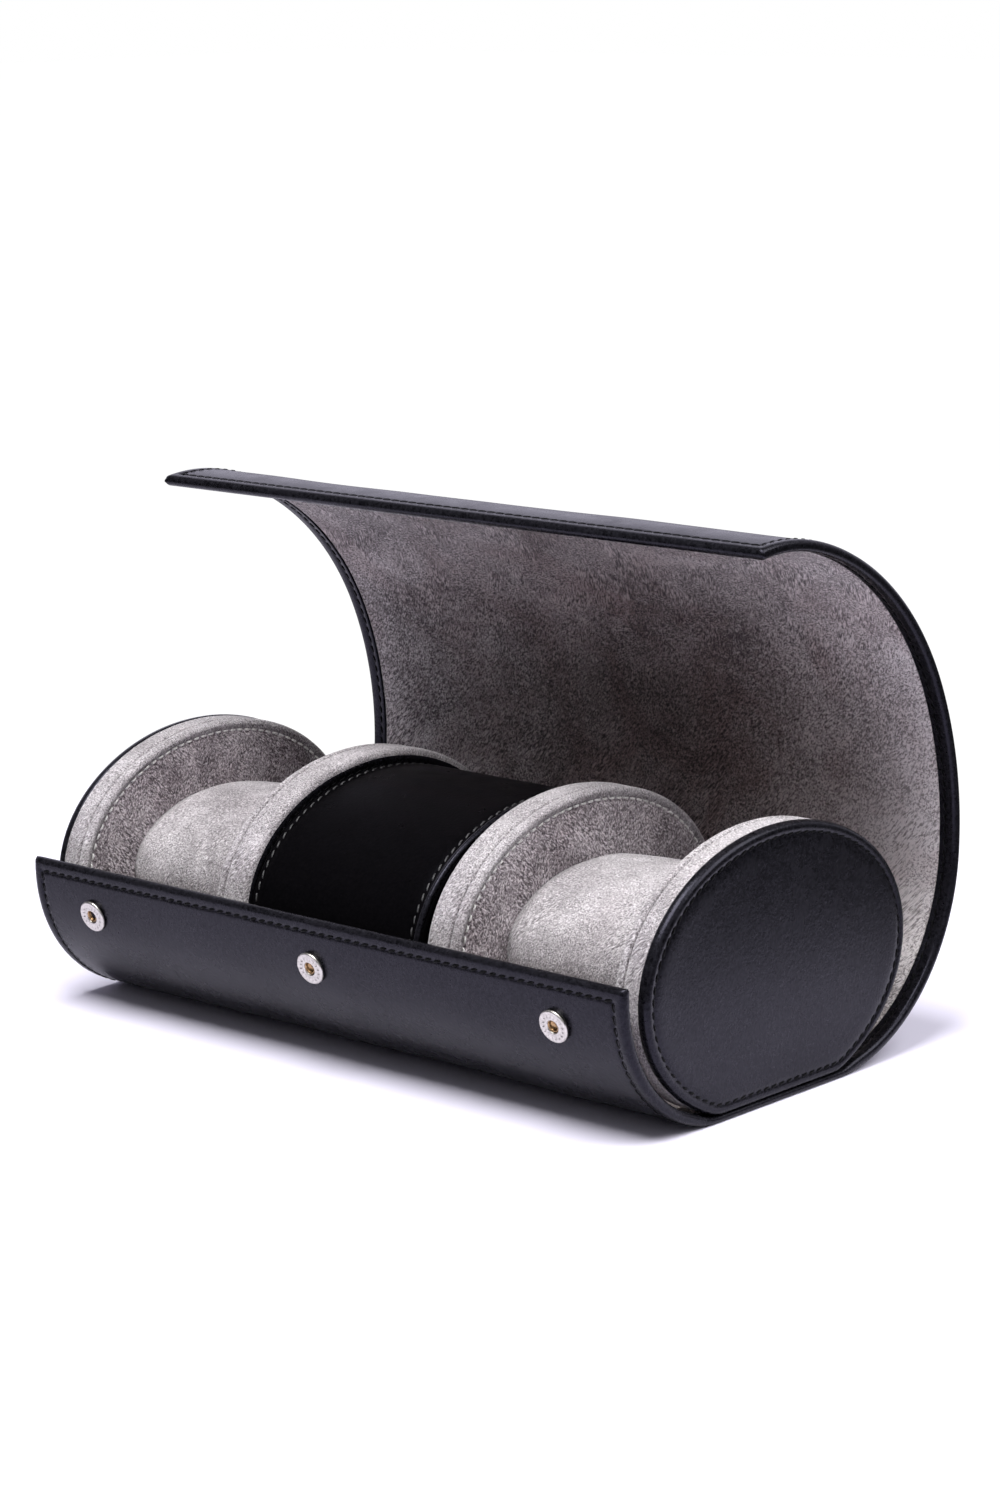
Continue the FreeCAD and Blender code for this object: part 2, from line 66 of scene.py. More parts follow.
# Sizes read from the frame
half_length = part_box("base_leather")[1].x
disc_half_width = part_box("right_end_rim")[1].y
base_half_width = next(joint["pos_m"][1] for joint in frame["joints"] if joint["name"] == "lid_hinge")

# Sizes of the wrap: radii are shares of a disc's half width, and angles are in degrees
WRAP_THICKNESS = 2.7 * MM
FLAP_RADIUS_SHARE = 0.757
FLAP_START_ANGLE = 9.5
FLAP_SWEEP_ANGLE = 85.0
LID_START_ANGLE = 4.2
LID_RADIUS_SHARES = {"heel": 1.009, "back": 1.037, "shoulder": 1.869, "top": 1.514, "front": 1.065}
LID_SWEEP_ANGLES = {"heel": 42.0, "back": 40.0, "shoulder": 28.0, "top": 50.5, "front": 25.576}
LID_STRIPS = list(LID_SWEEP_ANGLES)


# Mesh helpers
def add_mesh(name, verts, faces, material):
    """A smooth shaded mesh object at the origin."""
    mesh = bpy.data.meshes.new(name)
    mesh.from_pydata([tuple(v) for v in verts], [], faces)
    work = bmesh.new()
    work.from_mesh(mesh)
    bmesh.ops.remove_doubles(work, verts=work.verts, dist=WELD_DISTANCE)
    bmesh.ops.recalc_face_normals(work, faces=work.faces)
    work.to_mesh(mesh)
    work.free()
    mesh.polygons.foreach_set("use_smooth", [True] * len(mesh.polygons))
    mesh.materials.append(material)
    obj = bpy.data.objects.new(name, mesh)
    bpy.context.scene.collection.objects.link(obj)
    return obj


def loop_faces(loops, count):
    """Quads between successive closed loops of count points."""
    faces = []
    for i in range(loops - 1):
        for j in range(count):
            k = (j + 1) % count
            faces.append((i * count + j, i * count + k, (i + 1) * count + k, (i + 1) * count + j))
    return faces


def loop_cap(loop, count):
    """One face across a closed loop of count points."""
    return tuple(range(loop * count, (loop + 1) * count))


def path_travels(points):
    """Way along a line of points, from the first to each of them."""
    steps = np.linalg.norm(np.diff(points, axis=0), axis=1)
    return np.concatenate([[0], np.cumsum(steps)])


def between(first, second, share=0.5):
    """The value at a share of the way from first to second."""
    return first + (second - first) * share


def bell(distance, centre, width):
    """1 at the centre, falling away to both sides over a width."""
    return np.exp(-((distance - centre) / width) ** 2)


def ease(value, low, high):
    """0 below low, 1 above high, smooth between."""
    t = np.clip((value - low) / (high - low), 0, 1)
    return t * t * (3 - 2 * t)


def waves(x, y, z, size, seed):
    """Slow unevenness between -1 and 1, the same at a place on every run."""
    return noise.noise(Vector((x / size + seed, y / size, z / size)))


# Node trees, with the sockets of a colour mix by number, because their names repeat
MIX_FACTOR, MIX_FIRST, MIX_SECOND, MIX_RESULT = 0, 6, 7, 2
NEAR_CORE_SHARE = 0.15


class Nodes:
    """Short hand for building the node tree of a material or of the world."""

    def __init__(self, owner, coords):
        owner.use_nodes = True
        self.tree = owner.node_tree
        self.coords = self.add("ShaderNodeTexCoord").outputs[coords]

    def feed(self, socket, value):
        """Links an output to a socket, or sets the socket to a plain value."""
        if isinstance(value, bpy.types.NodeSocket):
            self.tree.links.new(value, socket)
        else:
            socket.default_value = value

    def add(self, kind, inputs=None, **settings):
        """A node with its settings made and its inputs fed."""
        node = self.tree.nodes.new(kind)
        for name, value in settings.items():
            setattr(node, name, value)
        for socket, value in (inputs or {}).items():
            self.feed(node.inputs[socket], value)
        return node

    def camera_ray(self):
        """1 where the camera looks straight at the surface, 0 for light and reflections."""
        return self.add("ShaderNodeLightPath").outputs["Is Camera Ray"]

    def noise(self, scale, detail=4.0, rough=0.6, distortion=0.0, vector=None):
        """Noise of a scale in grains per unit of its vector, which is by default metres on the object."""
        node = self.add("ShaderNodeTexNoise", {
            "Vector": vector or self.coords, "Scale": scale, "Detail": detail,
            "Roughness": rough, "Distortion": distortion})
        return node.outputs["Fac"]

    def strokes(self, width, length, turn, distortion):
        """Noise drawn out into strokes of a width and length, lying at a turn."""
        sizes = (width, width, length)
        mapping = self.add("ShaderNodeMapping", {"Vector": self.coords, "Scale": sizes, "Rotation": turn},
                           vector_type="TEXTURE")
        return self.noise(1.0, detail=2.0, distortion=distortion, vector=mapping.outputs["Vector"])

    def ramp(self, source, places, colours):
        """Colours that stand at places along source, and blend between them."""
        node = self.add("ShaderNodeValToRGB", {"Fac": source})
        elements = node.color_ramp.elements
        while len(elements) < len(places):
            elements.new(0.5)
        for element, place, colour in zip(elements, places, colours):
            element.position = place
            element.color = (*colour, 1.0)
        return node.outputs["Color"]

    def scaled(self, source, low, high, start=0.25, end=0.75, curve="LINEAR"):
        """Carries source from the stretch start..end, which by default is where noise lies, to low..high."""
        node = self.add("ShaderNodeMapRange", {
            "Value": source, "From Min": start, "From Max": end, "To Min": low, "To Max": high},
            interpolation_type=curve)
        return node.outputs["Result"]

    def mix(self, factor, first, second, blend="MIX"):
        """Two colours mixed by a factor."""
        node = self.add("ShaderNodeMix", {MIX_FACTOR: factor, MIX_FIRST: first, MIX_SECOND: second},
                        data_type="RGBA", blend_type=blend)
        return node.outputs[MIX_RESULT]

    def sum(self, first, second, share):
        """first plus a share of second."""
        node = self.add("ShaderNodeMath", {0: second, 1: share, 2: first}, operation="MULTIPLY_ADD")
        return node.outputs["Value"]

    def product(self, first, second):
        return self.add("ShaderNodeMath", {0: first, 1: second}, operation="MULTIPLY").outputs["Value"]

    def vector_value(self, operation, vector):
        """A number worked out from the coordinates and one vector."""
        node = self.add("ShaderNodeVectorMath", {0: self.coords, 1: vector}, operation=operation)
        return node.outputs["Value"]

    def near(self, place, reach):
        """1 at a place, falling to 0 at a reach from it."""
        distance = self.vector_value("DISTANCE", place)
        return self.scaled(distance, 1.0, 0.0, NEAR_CORE_SHARE * reach, reach)


class MaterialNodes(Nodes):
    """The node tree of a new material, round its shader."""

    def __init__(self, name):
        self.material = bpy.data.materials.new(name)
        super().__init__(self.material, "Object")
        self.shader = self.tree.nodes["Principled BSDF"]

    def set(self, **values):
        """Plain values on the shader's own sockets."""
        for name, value in values.items():
            self.shader.inputs[name.replace("_", " ")].default_value = value

    def link(self, output, socket):
        self.tree.links.new(output, self.shader.inputs[socket])

    def bump(self, height, depth):
        """Relief of a depth in metres."""
        node = self.add("ShaderNodeBump", {"Height": height, "Distance": depth, "Strength": 1.0})
        self.link(node.outputs["Normal"], "Normal")


# Leather: scales in grains per metre
LEATHER_MOTTLE = 1000.0
LEATHER_CLOUDS = 30.0
LEATHER_POLISH = 140.0
LEATHER_PEBBLES = 1250.0
LEATHER_CREASES = 260.0
CLOUD_SHARE = 0.2
CREASE_SHARE = 0.12
LEATHER_TONES = (0.42, 0.78)
LEATHER_GLOSS_TINT = (0.77, 0.75, 1.0, 1.0)


def leather_material(name, dark, light, roughness, grain_depth, shine):
    """Satin black leather: a fine even grain, soft creases, a slow change of tone and of polish."""
    nodes = MaterialNodes(name)
    mottle = nodes.noise(LEATHER_MOTTLE, detail=3.0, rough=0.7)
    clouds = nodes.noise(LEATHER_CLOUDS, detail=3.0)
    tone = nodes.scaled(nodes.sum(mottle, clouds, CLOUD_SHARE), 0.0, 1.0, *LEATHER_TONES)
    nodes.link(nodes.ramp(tone, (0.0, 1.0), (dark, light)), "Base Color")
    nodes.link(nodes.scaled(nodes.noise(LEATHER_POLISH), *roughness), "Roughness")
    pebbles = nodes.noise(LEATHER_PEBBLES, detail=2.0, rough=0.5)
    creases = nodes.noise(LEATHER_CREASES, detail=2.0)
    nodes.bump(nodes.sum(pebbles, creases, CREASE_SHARE), grain_depth)
    nodes.set(Specular_IOR_Level=shine, Specular_Tint=LEATHER_GLOSS_TINT)
    return nodes.material


# Suede: scales in grains per metre, turns in radians
FIBRE_TURNS = ((0.9, 0.35, 0.3), (-0.5, 0.6, -0.4))
FIBRE_WANDER = 0.6
SUEDE_WAYS = 70.0
WAY_CHANGE = (0.44, 0.56)
SUEDE_SPECKLE = 2400.0
SPECKLE_SHARE = 0.3
SUEDE_PATCHES = 48.0
PATCH_SHARE = 0.3
SUEDE_BRUSHING = 26.0
BRUSHING_TONES = (0.42, 0.62)
BRUSHING_MOST = 0.4
# Share of the lining's painted shade patch in the warm darkening
PAINTED_SHADE_SHARE = 0.75
NAP_DEPTH = 0.5 * MM


def suede_material(name, dark, mid, light, patch_and_shade_tint, fibre, contrast, painted_shade=None, painted_light_and_shade=()):
    """Napped suede: fibres of a (width, length) that lie two ways in patches, and a bloom at grazing angles.

    Brushed patches are tinted warmer and darker, and so is an optional (place, reach) patch of painted
    shade.
    Each (place, reach, change) spot is painted light or painted shade, lighter or darker by its change.
    """
    nodes = MaterialNodes(name)
    lying, crossing = (nodes.strokes(*fibre, turn, FIBRE_WANDER) for turn in FIBRE_TURNS)
    ways = nodes.noise(SUEDE_WAYS, detail=2.0, rough=0.5, distortion=1.0)
    fibres = nodes.mix(nodes.scaled(ways, 0.0, 1.0, *WAY_CHANGE), lying, crossing)
    grains = nodes.sum(fibres, nodes.noise(SUEDE_SPECKLE, detail=2.0, rough=0.8), SPECKLE_SHARE)
    patches = nodes.noise(SUEDE_PATCHES, rough=0.65, distortion=0.9)
    whole = nodes.sum(grains, patches, PATCH_SHARE)
    middle = 0.5 * (1 + SPECKLE_SHARE + PATCH_SHARE)
    tone = nodes.scaled(whole, 0.0, 1.0, middle - contrast, middle + contrast)
    # Painted light and painted shade: each spot lifts or lowers the tone near its place
    for place, reach, change in painted_light_and_shade:
        tone = nodes.sum(tone, nodes.near(place, reach), change)
    colour = nodes.ramp(tone, (0.0, 0.5, 1.0), (dark, mid, light))
    brushing = nodes.noise(SUEDE_BRUSHING, detail=3.0, distortion=1.2)
    brushed_and_shaded = nodes.scaled(brushing, 0.0, BRUSHING_MOST, *BRUSHING_TONES)
    # Painted shade: a warm darker patch at a place, added to the brushed patches
    if painted_shade:
        brushed_and_shaded = nodes.sum(brushed_and_shaded, nodes.near(*painted_shade), PAINTED_SHADE_SHARE)
    nodes.link(nodes.mix(brushed_and_shaded, colour, (*patch_and_shade_tint, 1.0), "MULTIPLY"), "Base Color")
    nodes.bump(grains, NAP_DEPTH)
    nodes.set(Roughness=0.95, Sheen_Weight=0.35, Sheen_Roughness=0.45, Specular_IOR_Level=0.1)
    return nodes.material


# Thread, metal and board: scales in grains per metre
THREAD_TWIST = 2200.0
THREAD_TONES = (0.35, 0.65)
THREAD_RELIEF = 0.12 * MM
METAL_MARKS = 1400.0
METAL_RELIEF = 0.04 * MM
BOARD_FIBRES = 600.0
BOARD_RELIEF = 0.2 * MM
PLAIN_TONES = (0.3, 0.7)


def thread_material(name, dark, light, shine):
    """Twisted thread with a faint waxed shine."""
    nodes = MaterialNodes(name)
    twist = nodes.noise(THREAD_TWIST, detail=2.0, rough=0.5)
    nodes.link(nodes.ramp(twist, THREAD_TONES, (dark, light)), "Base Color")
    nodes.bump(twist, THREAD_RELIEF)
    nodes.set(Roughness=0.45, Specular_IOR_Level=shine)
    return nodes.material


def metal_material(name, dark, light, roughness):
    """Plated metal with handling marks."""
    nodes = MaterialNodes(name)
    marks = nodes.noise(METAL_MARKS)
    nodes.link(nodes.ramp(marks, PLAIN_TONES, (dark, light)), "Base Color")
    nodes.link(nodes.scaled(marks, *roughness), "Roughness")
    nodes.bump(marks, METAL_RELIEF)
    nodes.set(Metallic=1.0)
    return nodes.material


def board_material(name, dark, light):
    """Stiffening board, seen only where the roll is taken apart."""
    nodes = MaterialNodes(name)
    fibres = nodes.noise(BOARD_FIBRES)
    nodes.link(nodes.ramp(fibres, PLAIN_TONES, (dark, light)), "Base Color")
    nodes.bump(fibres, BOARD_RELIEF)
    nodes.set(Roughness=0.9)
    return nodes.material


# Materials of the roll, with painted shade and painted light at places on the lining
# Painted shade on the lining: a warm darker patch (place, reach) in the lid's middle, where the lid shades
# itself
LINING_PAINTED_SHADE = ((0.015, 0.07, 0.075), 0.10)
# Painted light and painted shade on the lining (place, reach, change): lighter at the right end where more
# light falls, darker where the lid's curve shades it
LINING_PAINTED_LIGHT_AND_SHADE = (
    ((0.098, 0.072, 0.055), 0.085, 0.36),
    ((0.045, 0.068, 0.098), 0.06, -0.22),
    ((-0.064, 0.076, 0.066), 0.06, -0.14),
    ((-0.09, 0.06, 0.11), 0.06, -0.04),
)
LEATHER = leather_material(
    "wrap_leather", dark=(0.0006, 0.0006, 0.0009), light=(0.0120, 0.0116, 0.0146),
    roughness=(0.21, 0.32), grain_depth=0.06 * MM, shine=0.18)
SMOOTH_LEATHER = leather_material(
    "drum_leather", dark=(0.0014, 0.0013, 0.0016), light=(0.0028, 0.0025, 0.0030),
    roughness=(0.26, 0.36), grain_depth=0.04 * MM, shine=0.025)
SUEDE = suede_material(
    "grey_suede", dark=(0.135, 0.121, 0.126), mid=(0.395, 0.367, 0.383), light=(0.80, 0.76, 0.785),
    patch_and_shade_tint=(0.62, 0.585, 0.595), fibre=(0.38 * MM, 1.4 * MM), contrast=0.16)
NAP = suede_material(
    "face_suede", dark=(0.062, 0.049, 0.054), mid=(0.300, 0.256, 0.276), light=(0.82, 0.76, 0.79),
    patch_and_shade_tint=(0.80, 0.74, 0.75), fibre=(0.5 * MM, 3.0 * MM), contrast=0.15)
LINING = suede_material(
    "lining_suede", dark=(0.082, 0.069, 0.070), mid=(0.368, 0.333, 0.331), light=(0.80, 0.755, 0.755),
    patch_and_shade_tint=(0.60, 0.485, 0.475), fibre=(0.5 * MM, 3.0 * MM), contrast=0.14,
    painted_shade=LINING_PAINTED_SHADE, painted_light_and_shade=LINING_PAINTED_LIGHT_AND_SHADE)
THREAD = thread_material(
    "black_thread", dark=(0.0018, 0.0018, 0.0020), light=(0.0055, 0.0054, 0.0060), shine=0.06)
# Black thread painted light grey as a painted highlight for its glints on the drum, besides its real shine
PAINTED_GLINT_THREAD = thread_material(
    "waxed_thread", dark=(0.012, 0.012, 0.013), light=(0.06, 0.059, 0.061), shine=0.5)
LIGHT_THREAD = thread_material(
    "grey_thread", dark=(0.62, 0.60, 0.59), light=(0.92, 0.90, 0.89), shine=0.5)
NICKEL = metal_material(
    "nickel", dark=(0.40, 0.38, 0.355), light=(0.60, 0.575, 0.54), roughness=(0.26, 0.42))
BRASS = metal_material(
    "brass", dark=(0.24, 0.15, 0.075), light=(0.40, 0.265, 0.14), roughness=(0.24, 0.4))
BOARD = board_material("grey_board", dark=(0.28, 0.26, 0.24), light=(0.42, 0.40, 0.37))


# Stitches: sizes are length, width and height
STITCH_SIZE = (2.5 * MM, 0.56 * MM, 0.26 * MM)
STITCH_PITCH = 3.2 * MM
STITCH_SLANT = math.radians(13)
LIGHT_STITCH_SIZE = (2.1 * MM, 0.62 * MM, 0.5 * MM)
LIGHT_STITCH_PITCH = 2.9 * MM
STITCH_STATIONS = (-1.0, -0.86, -0.5, 0.0, 0.5, 0.86, 1.0)
STITCH_SIDES = 6
STITCH_END_GIRTH = 0.12
STITCH_RISE_SHARE = 0.55
STITCH_DIVE_SHARE = 0.95
DIRECTION_SHARE = 0.3


def stitch_points(size):
    """One stitch lying along X on Z = 0: a grain of rice whose ends dive into the leather."""
    length, width, height = size
    rings = []
    for u in STITCH_STATIONS:
        girth = math.sqrt(max(0.0, 1 - u ** 6)) + STITCH_END_GIRTH
        rise = height * (STITCH_RISE_SHARE - STITCH_DIVE_SHARE * u ** 4)
        for step in range(STITCH_SIDES):
            turn = 2 * math.pi * step / STITCH_SIDES
            rings.append((u * length / 2, girth * width / 2 * math.cos(turn),
                          rise + girth * height / 2 * math.sin(turn)))
    return np.array(rings)


def add_stitches(name, places, size, material, slant=STITCH_SLANT):
    """Stitches at (point, direction, outward normal) places, as one mesh."""
    shape = stitch_points(size)
    stations = len(STITCH_STATIONS)
    faces = loop_faces(stations, STITCH_SIDES)
    faces += [loop_cap(end, STITCH_SIDES) for end in (0, stations - 1)]
    verts, all_faces = [], []
    for point, along, normal in places:
        normal = normal / np.linalg.norm(normal)
        along = along - normal * np.dot(along, normal)
        along = along / np.linalg.norm(along)
        across = np.cross(normal, along)
        turned = along * math.cos(slant) + across * math.sin(slant)
        side = np.cross(normal, turned)
        base = len(verts)
        verts.extend(point + shape[:, :1] * turned + shape[:, 1:2] * side + shape[:, 2:] * normal)
        all_faces.extend(tuple(base + i for i in face) for face in faces)
    return add_mesh(name, verts, all_faces, material)


def along_line(points, normals, closed, pitch=STITCH_PITCH):
    """Evenly spaced stitch places along a line of points."""
    points, normals = np.asarray(points), np.asarray(normals)
    if closed:
        points, normals = np.vstack([points, points[:1]]), np.vstack([normals, normals[:1]])
    travel = path_travels(points)
    count = max(1, round(travel[-1] / pitch))
    reach = DIRECTION_SHARE * pitch
    places = []
    for mark in (np.arange(count) + 0.5) * travel[-1] / count:
        behind, point, ahead = (np.array([np.interp(mark + shift, travel, points[:, i]) for i in range(3)])
                                for shift in (-reach, 0.0, reach))
        normal = np.array([np.interp(mark, travel, normals[:, i]) for i in range(3)])
        places.append((point, ahead - behind, normal))
    return places


# Wrap section: arcs from the flap's edge, under the base and over to the lid's front edge
PROFILE_STEP = 0.25 * MM
FOLD_POINTS = 16
FOLD_FALLOFF = 2.0
SLOPE_REACH = 2 * MM


def arc_points(start, radius, angle, sweep):
    """Points of an arc that leaves start at an angle and turns towards the roll's inside."""
    count = max(2, round(radius * sweep / PROFILE_STEP))
    turn = angle + np.linspace(0, sweep, count)
    centre = (start[0] - radius * math.sin(angle), start[1] + radius * math.cos(angle))
    return np.stack([centre[0] + radius * np.sin(turn), centre[1] - radius * np.cos(turn)], 1)


def softened(points):
    """The line with its two folds at the base eased, as leather turns them."""
    kernel = np.exp(-np.linspace(-FOLD_FALLOFF, FOLD_FALLOFF, 2 * FOLD_POINTS + 1) ** 2)
    kernel /= kernel.sum()
    before = 2 * points[0] - points[FOLD_POINTS:0:-1]
    after = 2 * points[-1] - points[-2:-FOLD_POINTS - 2:-1]
    padded = np.vstack([before, points, after])
    return np.stack([np.convolve(padded[:, i], kernel, "valid") for i in range(2)], 1)


def wrap_profile():
    """Travels and (y, z) points of the wrap's outer line, and the travels of the hinges.

    A travel is the way along the line from the base's middle, below zero towards the flap.
    """
    front = arc_points((base_half_width, 0.0), disc_half_width * FLAP_RADIUS_SHARE,
                       math.radians(FLAP_START_ANGLE), math.radians(FLAP_SWEEP_ANGLE)) * (-1, 1)
    level = np.arange(-base_half_width, base_half_width, PROFILE_STEP)
    flat = np.stack([level, np.zeros_like(level)], 1)
    line = [front[::-1], flat[1:]]
    hinges = {"flap_hinge": -base_half_width, "lid_hinge": base_half_width}
    start, angle, travel = (base_half_width, 0.0), math.radians(LID_START_ANGLE), base_half_width
    for strip, following in zip(LID_STRIPS, LID_STRIPS[1:] + [None]):
        radius, sweep = disc_half_width * LID_RADIUS_SHARES[strip], math.radians(LID_SWEEP_ANGLES[strip])
        arc = arc_points(start, radius, angle, sweep)
        line.append(arc)
        start, angle, travel = arc[-1], angle + sweep, travel + radius * sweep
        if following:
            hinges[f"lid_{following}_bend"] = travel
    points = np.vstack(line)
    steps = np.linalg.norm(np.diff(points, axis=0), axis=1)
    points = points[np.concatenate([[True], steps > WELD_DISTANCE])]
    travels = path_travels(points)
    travels -= travels[len(front) - 1] + base_half_width
    return travels, softened(points), hinges


TRAVELS, PROFILE, HINGES = wrap_profile()
FLAP_EDGE, LID_EDGE = TRAVELS[0], TRAVELS[-1]


def profile_at(travel):
    """(y, z) point of the wrap's outer line."""
    return np.array([np.interp(travel, TRAVELS, PROFILE[:, i]) for i in range(2)])


def section(travel):
    """(point, inward normal) of the wrap's outer line, as (y, z) pairs."""
    run = profile_at(min(travel + SLOPE_REACH, LID_EDGE)) - profile_at(max(travel - SLOPE_REACH, FLAP_EDGE))
    run /= np.linalg.norm(run)
    return profile_at(travel), np.array([-run[1], run[0]])


def on_wrap(x, travel, depth):
    """Place on the wrap at a depth inwards from its outer line."""
    point, inward = section(travel)
    return np.array([x, *(point + inward * depth)])


# Relief of the wrap: insets run in from an edge, slow waves are (height, size, seed)
SEAM_INSET = 3.6 * MM
TURN_IN = 5.5 * MM
BASE_FADE = (base_half_width - 3 * MM, base_half_width + 7 * MM)
SWELL_PLACE = 0.5 * SEAM_INSET
SWELL_WIDTH = 0.4 * SEAM_INSET
GROOVE_WIDTH = 0.5 * MM
OUTER_SWELL, OUTER_GROOVE = 0.16 * MM, 0.24 * MM
INNER_SWELL, INNER_GROOVE = 0.14 * MM, 0.22 * MM
LEATHER_WAVES = ((0.45 * MM, 55 * MM, 3.0), (0.16 * MM, 23 * MM, 7.0))
WAVE_MARGIN = 20 * MM
BORDER_RISE = 0.12 * MM
BORDER_STEP = 0.75 * MM
BORDER_SLOPE = (TURN_IN - 0.35 * MM, TURN_IN + 0.25 * MM)
BASE_SKIVING = 1.05 * MM
SKIVING_SLOPE = (TURN_IN - 1 * MM, TURN_IN + 1 * MM)
LINING_INSET = 5.25 * MM
LINING_TUCK = 1.6 * MM
LINING_WAVE = (0.16 * MM, 28 * MM, 9.0)
LINING_BACK = 1.2 * MM
LINING_EDGE = 0.42 * MM
LINING_RISE = 0.38 * MM


def base_fade(travel):
    """0 on the stretch that lies on the table, 1 on the flap and lid."""
    return ease(abs(travel), *BASE_FADE)


def edge_relief(inset, swell, groove):
    """Height of the leather near a sewn edge: it swells outside the seam and dips under the thread."""
    return swell * bell(inset, SWELL_PLACE, SWELL_WIDTH) - groove * bell(inset, SEAM_INSET, GROOVE_WIDTH)


def leather_depths(inset, x, travel, point):
    """Outer and inner depth of the leather shell, whose turned in border stands above the lining."""
    raised = base_fade(travel)
    sway = sum(height * waves(x, *point, size, seed) for height, size, seed in LEATHER_WAVES)
    sway *= raised * ease(inset, 0.0, WAVE_MARGIN)
    outer = sway - edge_relief(inset, OUTER_SWELL * raised, OUTER_GROOVE)
    skived = BASE_SKIVING * (1 - raised) * (1 - ease(inset, *SKIVING_SLOPE))
    border = WRAP_THICKNESS + BORDER_RISE + edge_relief(inset, INNER_SWELL, INNER_GROOVE) - skived
    inner = border - BORDER_STEP * ease(inset, *BORDER_SLOPE)
    return outer, inner


def lining_depths(inset, x, travel, point):
    """Outer and inner depth of the suede lining, tucked under the turned in leather at its edge."""
    height, size, seed = LINING_WAVE
    rise = LINING_RISE + height * waves(x, *point, size, seed)
    return WRAP_THICKNESS - LINING_BACK, WRAP_THICKNESS - LINING_EDGE + rise * ease(inset, 0.0, LINING_TUCK)


# Shells of the wrap: mesh lines lie close together at an edge's rounding, its seam and its turned in border
EDGE_RADIUS = 1.25 * MM
EDGE_STEPS = np.array((0.0, 0.3, 0.7, 1.0))
SIDE_TURNS = np.linspace(0, math.pi, 7)[1:-1]
LEATHER_INSETS = np.concatenate([
    EDGE_RADIUS + np.array((0.0, 0.55, 1.15)) * MM,
    SEAM_INSET + np.array((-0.7, -0.35, 0.0, 0.35, 0.8)) * MM,
    TURN_IN + np.array((-0.6, -0.2, 0.0, 0.2, 0.8)) * MM,
])
LINING_INSETS = LEATHER_INSETS[:4]
CROSS_STEP = 4.0 * MM
TRAVEL_STEP = 1.8 * MM


def shell_lines(start, end, margin, insets):
    """(travel, way to the nearest free edge) of the mesh lines across a stretch."""
    low, high = FLAP_EDGE + margin, LID_EDGE - margin
    free_low, free_high = start <= FLAP_EDGE, end >= LID_EDGE
    first, last = max(start, low), min(end, high)
    rounding = EDGE_RADIUS * (1 - np.sin(EDGE_STEPS * math.pi / 2))
    near = np.concatenate([rounding[::-1], insets[1:]])
    count = max(2, round((last - first) / TRAVEL_STEP))
    lines = set(np.linspace(first, last, count + 1))
    if free_low:
        lines = {t for t in lines if t > low + near[-1]} | {low + n for n in near}
    if free_high:
        lines = {t for t in lines if t < high - near[-1]} | {high - n for n in near}
    return [(t, min(t - low if free_low else FAR, high - t if free_high else FAR)) for t in sorted(lines)]


def rounded_side(first, last, half, sign):
    """(x, depth) pairs that round off a side of the roll, from one face's depth to the other's."""
    return [((half - EDGE_RADIUS + EDGE_RADIUS * math.sin(turn)) * sign,
             (first + last) / 2 + (first - last) / 2 * math.cos(turn)) for turn in SIDE_TURNS]


def shell_loop(across, half, to_edge, face_depths):
    """(x, depth) pairs round the shell at one travel: outer face, side, inner face, side."""
    closing = math.sqrt(max(0.0, 1 - max(0.0, 1 - to_edge / EDGE_RADIUS) ** 2))
    outside, inside = [], []
    for x in across:
        inset = min(half - abs(x), max(to_edge, 0.0))
        outer, inner = face_depths(max(inset, EDGE_RADIUS), x)
        middle = (outer + inner) / 2
        outside.append((x, middle + (outer - middle) * closing))
        inside.append((x, middle + (inner - middle) * closing))
    right = rounded_side(outside[-1][1], inside[-1][1], half, 1)
    left = rounded_side(inside[0][1], outside[0][1], half, -1)
    return outside + right + inside[::-1] + left


def span_shell(name, start, end, margin, depths, material, insets):
    """A shell of the wrap between two travels, open where the next stretch goes on.

    It rounds off at the roll's sides and closes at a free edge.
    """
    half = half_length - margin
    middle = half - insets[-1]
    inside = np.linspace(-middle, middle, max(2, round(2 * middle / CROSS_STEP)) + 1)
    across = np.concatenate([-half + insets[:-1], inside, half - insets[:-1][::-1]])
    lines = shell_lines(start, end, margin, insets)
    verts = []
    for travel, to_edge in lines:
        point, inward = section(travel)
        loop = shell_loop(across, half, to_edge, lambda inset, x: depths(inset, x, travel, point))
        verts.extend((x, *(point + inward * depth)) for x, depth in loop)
    return add_mesh(name, verts, loop_faces(len(lines), len(loop)), material)


# Stretches of the wrap
STITCH_SINK = 0.05 * MM
BASE_STITCH_SINK = 0.3 * MM
FREE_EDGE_POINTS = 60


def wrap_spans():
    """Stretches of the wrap that each cross one hinge.

    Each is (name, first travel, last travel, hinge, the hinge's two bodies, the panels it stands for).
    """
    bends = ["lid_hinge"] + [f"lid_{strip}_bend" for strip in LID_STRIPS[1:]]
    panels = [f"lid_{strip}" for strip in LID_STRIPS]
    bodies = ["base"] + panels
    places = [HINGES[bend] for bend in bends]
    cuts = [0.0] + [between(*pair) for pair in zip(places, places[1:])] + [LID_EDGE]
    spans = [("flap", FLAP_EDGE, 0.0, "flap_hinge", ("base", "front_flap"), ("base", "flap"))]
    for i, strip in enumerate(LID_STRIPS):
        spans.append((strip, cuts[i], cuts[i + 1], bends[i], (bodies[i], bodies[i + 1]), (panels[i],)))
    return spans


def bend_with(piece):
    """Bakes the piece's transform into its mesh, so it stays where it was built."""
    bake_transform(piece)


